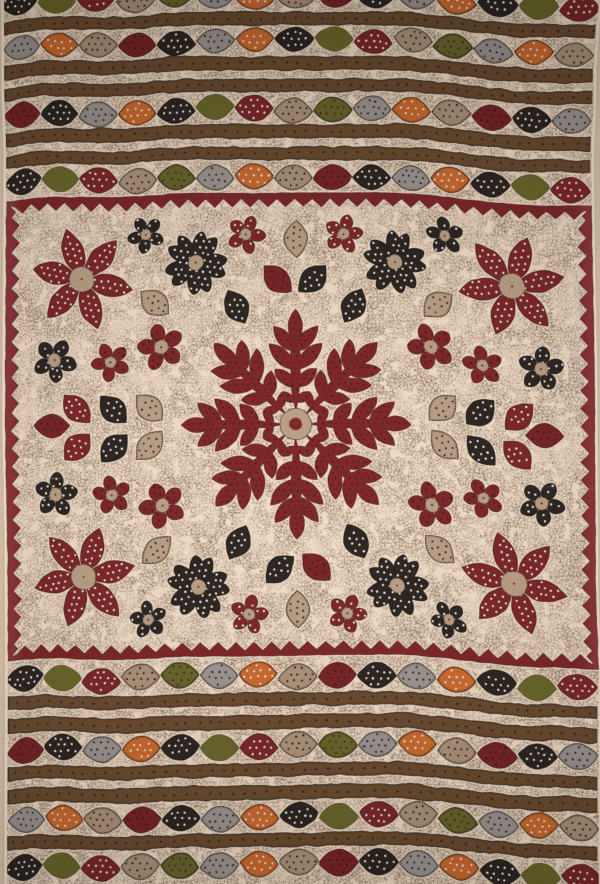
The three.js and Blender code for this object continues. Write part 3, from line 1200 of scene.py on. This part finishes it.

# %% [markdown]
# Past the printed ground the selvage is bare cloth, with one line of thicker threads in it. Along the crest
# of the sharpest crease a painted highlight makes the cloth paler here and there. The reverse keeps only
# a part of the dye, but the hem is turned over there and shows the printed side.

# %% Selvage, painted highlight on the crease, and reverse
SELVAGE = "#D8C2AC"
SELVAGE_SHADE = "#D0BAA3"
SELVAGE_START = (5.5, 7.5)
SELVAGE_CORD = 10.0
CORD_FADE = (1.6, 3.2)
# Painted highlight along the crease's crest: its strongest share, the run and start of its patches, and its
# fade.
CREST_HIGHLIGHT = 0.1
CREST_HIGHLIGHT_RUN = 90.0
CREST_HIGHLIGHT_FROM = (0.5, 0.7)
CREST_FADE = (0.6, 2.8)
REVERSE = "#E3D2BF"
REVERSE_STRENGTH = 0.32
TURN_SOFT = 0.5


def leave_selvage(put, at, colour):
    """Bare cloth from its start outwards, and a darker line at the cord, by the way past the print."""
    past_print = put("Math", [at.to_side, -1.0], "MULTIPLY")
    selvage = put("MapRange", [past_print, *SELVAGE_START, 0.0, 1.0])
    colour = put("Mix", [selvage, colour, linear(SELVAGE)], data_type="RGBA")
    off_cord = put("Math", [past_print, SELVAGE_CORD], "SUBTRACT")
    off_cord = put("Math", [off_cord], "ABSOLUTE")
    cord = put("MapRange", [off_cord, *CORD_FADE, 1.0, 0.0])
    return put("Mix", [cord, colour, linear(SELVAGE_SHADE)], data_type="RGBA")


def crest_highlight(put, at, colour):
    """Painted highlight: a share of pale cloth along the crease's line, times a slow noise."""
    highlight_patches = put("TexNoise", {"Vector": at.cloth, "Scale": 1 / CREST_HIGHLIGHT_RUN, "Detail": 1.0}, **FLAT)
    highlight_patches = put("MapRange", [highlight_patches, *CREST_HIGHLIGHT_FROM, 0.0, CREST_HIGHLIGHT])
    off_crest = put("Math", [at.along, CREASES[0, 1]], "SUBTRACT")
    off_crest = put("Math", [off_crest], "ABSOLUTE")
    crest = put("MapRange", [off_crest, *CREST_FADE, 1.0, 0.0])
    crest = put("Math", [crest, highlight_patches], "MULTIPLY")
    return put("Mix", [crest, colour, linear(HALO)], data_type="RGBA")


def show_through(put, at, colour, strength):
    """The undyed reverse with a share of the print in it, and the whole print on the turned hem."""
    turn_line = LENGTH / 2 - HEM_DEPTH
    from_middle = put("Math", [at.along], "ABSOLUTE")
    shown = put("MapRange", [from_middle, turn_line - TURN_SOFT, turn_line, strength, 1.0])
    return put("Mix", [shown, linear(REVERSE), colour], data_type="RGBA")


print("selvages", WIDTH / 2 - PRINT_HALF - SELVAGE_START[0], "mm wide")

# %% [markdown]
# Sheeting has about 25 threads a centimetre. That is too fine to show here, so the slubs, the thicker
# stretches of single threads, are drawn coarser: one noise stretched along the warp and one along the weft.
# They shade the colour by a few per cent and raise a slight bump. Unglazed cotton is rough and hardly
# shines, with a trace of sheen from its loose fibres.

# %% Weave
SLUB_WIDTH = 2.6
SLUB_LENGTH = 46.0
THREAD_SUM = (0.6, 1.4)
THREAD_TONE = (0.955, 1.035)
THREAD_RELIEF = 0.0006


def weave(put, at, colour):
    """Two stretched noises added, which tone the colour and raise the surface, and a matt cotton shader."""
    threads = []
    for size_across, size_along in ((SLUB_WIDTH, SLUB_LENGTH), (SLUB_LENGTH, SLUB_WIDTH)):
        along_thread = put("VectorMath", [at.cloth, (1 / size_across, 1 / size_along, 1.0)], "MULTIPLY")
        threads.append(put("TexNoise", {"Vector": along_thread, "Scale": 1.0, "Detail": 1.0}, **FLAT))
    both = put("Math", threads, "ADD")
    tone = put("MapRange", [both, *THREAD_SUM, *THREAD_TONE])
    colour = put("VectorMath", [colour, tone], "SCALE")
    relief = put("Bump", {"Strength": 0.12, "Distance": THREAD_RELIEF, "Height": both})
    return put("BsdfPrincipled", {
        "Base Color": colour, "Roughness": 0.88, "Specular IOR Level": 0.1,
        "Sheen Weight": 0.02, "Sheen Roughness": 0.5, "Normal": relief,
    })


print("slubs of", SLUB_WIDTH, "by", SLUB_LENGTH, "mm")

# %% The whole material
def new_material(name):
    """A material with an empty graph, and the node function bound to that graph."""
    material = bpy.data.materials.new(name)
    material.use_nodes = True
    material.node_tree.nodes.clear()
    return material, partial(node, material.node_tree)


def printed_cotton(name, strength):
    """Cotton with the print laid down from the ground up. Strength is the share that shows on this side."""
    material, put = new_material(name)
    at = places(put)
    at.in_stripe = stripe_edge(put, at)
    at.in_border = border_edge(put, at)
    figure_edges(put, at)
    wheel_edges(put, at)
    colour = print_ground(put, at)
    for layer in (print_stripes, print_border, print_wheel, print_figures, print_dots_and_eyes,
                  leave_selvage, crest_highlight):
        colour = layer(put, at, colour)
    if strength < 1.0:
        colour = show_through(put, at, colour, strength)
    put("OutputMaterial", {"Surface": weave(put, at, colour)})
    print(name, "has", len(material.node_tree.nodes), "nodes")
    return material


sheet.data.materials.append(printed_cotton("printed cotton sheeting", 1.0))
sheet.data.materials.append(printed_cotton("reverse of the printed cotton", REVERSE_STRENGTH))
sheet.data.polygons.foreach_set("material_index", np.where(on_top, 0, 1).astype(np.int32))

# %% [markdown]
# ## The hems' sewing
# Each hem is held by one line of machine stitches, close to its inner fold. A stitch is a short rounded bar
# of thread that sinks into the cloth at both ends. Its shape is worked out once, as rings along its length,
# and repeated as one array over both hems, so that the line follows the cloth's ripples. An Array modifier
# on one stitch would run straight and float off them.

# %% Points of the stitches
STITCH_STEP = 4.4
THREAD_LENGTH = 3.5
THREAD_HALF = 0.42
THREAD_SINK = 0.12
FROM_FOLD = 3.0
RING_POINTS = 8
# Rings of a stitch. Columns: place along it in half lengths, fullness.
RINGS = np.array([[-1.0, 0.35], [-0.8, 0.75], [-0.35, 1.0], [0.35, 1.0], [0.8, 0.75], [1.0, 0.35]])


def stitch_lines():
    """Bars of thread: rings of a circle scaled by the fullness at each place, laid on the upper face."""
    hem_line = LENGTH / 2 - HEM_DEPTH + FROM_FOLD
    middles = np.arange(-WIDTH / 2 + STITCH_STEP, WIDTH / 2 - STITCH_STEP, STITCH_STEP)
    turn = 2 * np.pi * (np.arange(RING_POINTS) + 0.5) / RING_POINTS
    along_bar = RINGS[:, :1] * THREAD_LENGTH / 2 + np.zeros(RING_POINTS)
    fullness = RINGS[:, 1:]
    beside = fullness * np.cos(turn) * THREAD_HALF
    above = fullness * (np.sin(turn) * THREAD_HALF + THREAD_HALF) - THREAD_SINK
    ends = np.array([-1.0, 1.0])[:, None, None, None]
    across = middles[None, :, None, None] + along_bar + 0 * ends
    along = ends * hem_line + beside + 0 * across
    x, y, z_up, _ = sheet_faces(across, along)
    bars = np.stack([x + shift[0], y + shift[1], z_up + above], -1) * MM
    return bars.reshape(-1, len(RINGS) * RING_POINTS, 3)


bars = stitch_lines()
print("stitches:", len(bars))

# %% Faces of the stitches
ring, spoke = np.meshgrid(np.arange(len(RINGS) - 1), np.arange(RING_POINTS), indexing="ij")
here = ring * RING_POINTS
there = here + RING_POINTS
next_spoke = (spoke + 1) % RING_POINTS
sides = np.stack([here + spoke, here + next_spoke, there + next_spoke, there + spoke], -1)
# The ring of eight points at each end is closed by three four-sided faces.
cap = np.array([[0, 3, 2, 1], [0, 7, 4, 3], [4, 7, 6, 5]])
far_cap = cap[:, ::-1] + (len(RINGS) - 1) * RING_POINTS
bar_quads = np.concatenate([sides.reshape(-1, 4), cap, far_cap])
first_point = np.arange(len(bars))[:, None, None] * len(RINGS) * RING_POINTS
stitches = mesh_object("hem_stitches", bars.reshape(-1, 3), (bar_quads[None] + first_point).reshape(-1, 4))
print("triangles of the stitches:", 2 * len(stitches.data.polygons))

# %% [markdown]
# Sewing thread is two fine yarns twisted together, a little glossier than the cloth. The twist is drawn as
# slanted bands in the bump and as painted shade in its grooves, because modelled yarns would be too fine to
# see.

# %% Sewing thread
THREAD = "#E6D6C2"
THREAD_GROOVE_SHADOW = "#C3AF97"
TWIST = 1.1
TWIST_GROOVE = (0.0, 0.16)
GROOVE_SHADOW_SHARE = 0.6
GROOVE_DEPTH = 0.0001
sewing, put = new_material("cotton sewing thread")
thread_place = put("VectorMath", [put("TexCoord").outputs["Object"], 1 / MM], "SCALE")
slant = put("VectorMath", [thread_place, (1 / TWIST, 1 / TWIST, 0.0)], "DOT_PRODUCT")
twist = put("Math", [slant, 0.5], "PINGPONG")
# Painted shade: the colour darkens in the grooves of the twist.
shade = put("MapRange", [twist, *TWIST_GROOVE, GROOVE_SHADOW_SHARE, 0.0])
colour = put("Mix", [shade, linear(THREAD), linear(THREAD_GROOVE_SHADOW)], data_type="RGBA")
relief = put("Bump", {"Strength": 0.4, "Distance": GROOVE_DEPTH, "Height": twist})
shader = put("BsdfPrincipled", {"Base Color": colour, "Roughness": 0.6, "Normal": relief})
put("OutputMaterial", {"Surface": shader})
stitches.data.materials.append(sewing)
print(sewing.name, "has", len(sewing.node_tree.nodes), "nodes")

# %% [markdown]
# ## The pieces on the frame
# Both pieces move with the one body of the frame. The sheet stands for the solid, which is hidden.

# %% Attach the pieces and hide the solid
for piece in (sheet, stitches):
    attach(piece, "root")
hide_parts("bedsheet")
print("pieces:", sheet.name, stitches.name)

# %% [markdown]
# ## Floor, light and camera
# The photograph looks straight down at the sheet, as from a copy stand, and the light is strongest over
# the middle. A pale painted floor is matt and bounces soft light back. One large soft box over the sheet
# gives the fall-off towards the ends, and the world's even light fills the rest.

# %% Floor
FLOOR_HALF = 14.0
# A little below the cloth's underside, so that the two don't flicker.
FLOOR_HEIGHT = -0.0005
FLOOR_COLOUR = "#E4E2DE"
floor_mesh = bpy.data.meshes.new("floor")
corner_sides = [(-1, -1), (1, -1), (1, 1), (-1, 1)]
floor_corners = [(side * FLOOR_HALF, end * FLOOR_HALF, FLOOR_HEIGHT) for side, end in corner_sides]
floor_mesh.from_pydata(floor_corners, [], [(0, 1, 2, 3)])
floor = bpy.data.objects.new("floor", floor_mesh)
bpy.context.scene.collection.objects.link(floor)
floor_paint, put = new_material("pale painted floor")
paint = put("BsdfPrincipled", {"Base Color": linear(FLOOR_COLOUR), "Roughness": 0.7})
put("OutputMaterial", {"Surface": paint})
floor_mesh.materials.append(floor_paint)
print("floor", 2 * FLOOR_HALF, "m wide")

# %% Light
FILL_LIGHT = 0.42
FILL_COLOUR = "#F2F0EC"
SOFT_BOX_SIZE = (2.09, 1.66)
SOFT_BOX_WATTS = 16.34
SOFT_BOX_PLACE = (0.0, -0.12, 1.087)
world = bpy.data.worlds.new("studio")
bpy.context.scene.world = world
world.use_nodes = True
background = world.node_tree.nodes["Background"]
background.inputs["Color"].default_value = linear(FILL_COLOUR)
background.inputs["Strength"].default_value = FILL_LIGHT

# The soft box hangs between the camera and the sheet, so it is hidden from the camera.
lamp = bpy.data.lights.new("soft box", "AREA")
lamp.shape = "RECTANGLE"
lamp.size, lamp.size_y = SOFT_BOX_SIZE
lamp.energy = SOFT_BOX_WATTS
lamp_object = bpy.data.objects.new("soft box", lamp)
lamp_object.location = SOFT_BOX_PLACE
lamp_object.visible_camera = False
bpy.context.scene.collection.objects.link(lamp_object)
print("soft box of", SOFT_BOX_SIZE, "m,", SOFT_BOX_WATTS, "W")

# %% [markdown]
# The camera stands far above, with a long lens, so that the sheet's edges stay parallel as they do in the
# photograph. Its lens follows from the stretch of floor that the picture's long side covers.

# %% Camera
PHOTO_LONG_SIDE = 2.210
PHOTO_MIDDLE = np.array([0.0, -33.75])
CAMERA_HEIGHT = 4.0
camera = bpy.data.cameras.new("camera")
camera.sensor_width = 36.0
camera.lens = camera.sensor_width * CAMERA_HEIGHT / PHOTO_LONG_SIDE
camera_object = bpy.data.objects.new("camera", camera)
camera_object.location = (*((PHOTO_MIDDLE + shift) * MM), CAMERA_HEIGHT)
bpy.context.scene.collection.objects.link(camera_object)
bpy.context.scene.camera = camera_object
bpy.context.scene.view_settings.view_transform = "Standard"
print("lens", round(camera.lens, 1), "mm")
